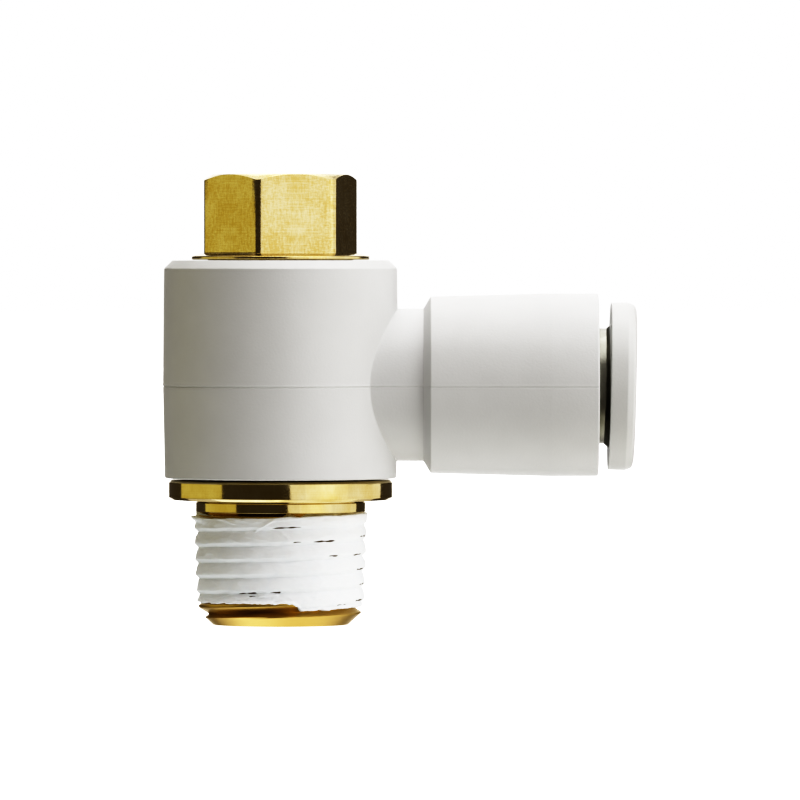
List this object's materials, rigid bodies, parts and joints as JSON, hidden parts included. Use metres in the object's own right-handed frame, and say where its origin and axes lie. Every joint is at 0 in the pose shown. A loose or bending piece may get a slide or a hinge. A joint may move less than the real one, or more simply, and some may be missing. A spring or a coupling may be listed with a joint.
{
  "type": "flow control valve",
  "caption": "Banjo flow control valve: brass hex head with a metering needle, taper-threaded stud coated with sealant, and a white swivelling elbow with a push-in tube socket.",
  "frame": {"origin": "on the valve's axis, at the port end of the threaded stud", "axes": "+Z along the valve's axis from the port thread to the hexagon; +X along the tube socket's axis, towards the tube; +Y completes a right-handed frame"},
  "size_m": [0.0276, 0.0138, 0.0261],
  "materials": {
    "brass": "turned and milled, bright",
    "sealant_white": "baked-on sealant, matt",
    "seal_rubber": "moulded nitrile rubber",
    "body_white": "moulded, satin",
    "button_white": "moulded, satin",
    "natural_plastic": "moulded acetal",
    "stainless": "pressed stainless steel"
  },
  "bodies": {
    "core": {"threaded_stud": "brass", "thread_sealant": "sealant_white", "head_bush": "brass", "seat_ring": "brass", "check_lip_seal": "seal_rubber", "lower_o_ring": "seal_rubber", "upper_o_ring": "seal_rubber"},
    "swivel": {"swivel_body": "body_white", "tube_packing": "seal_rubber", "seal_retainer": "natural_plastic", "guide_ring": "stainless"},
    "collet": {"collet": "natural_plastic", "grab_ring": "stainless"},
    "button": {"release_button": "button_white"},
    "needle_seal": {"needle_o_ring": "seal_rubber"},
    "needle": {"metering_needle": "brass"}
  },
  "joints": [
    {"name": "body_swivel", "type": "hinge", "parent": "core", "child": "swivel", "pos_m": [0, 0, 0.01392], "axis": [0, 0, 1], "continuous": true},
    {"name": "collet_grip", "type": "slide", "parent": "swivel", "child": "collet", "axis": [1, 0, 0], "range_m": [0, 0.00045]},
    {"name": "button_push", "type": "slide", "parent": "swivel", "child": "button", "axis": [-1, 0, 0], "range_m": [0, 0.0005], "stiffness_N_per_m": 1500},
    {"name": "needle_lift", "type": "slide", "parent": "core", "child": "needle_seal", "axis": [0, 0, 1], "range_m": [0, 0.0025]},
    {"name": "needle_turn", "type": "hinge", "parent": "needle_seal", "child": "needle", "pos_m": [0, 0, 0.0157], "axis": [0, 0, 1], "range_deg": [0, 1800]}
  ],
  "couplings": [
    {"joint": "needle_turn", "follows": "needle_lift", "rad_per_m": 12566}
  ]
}
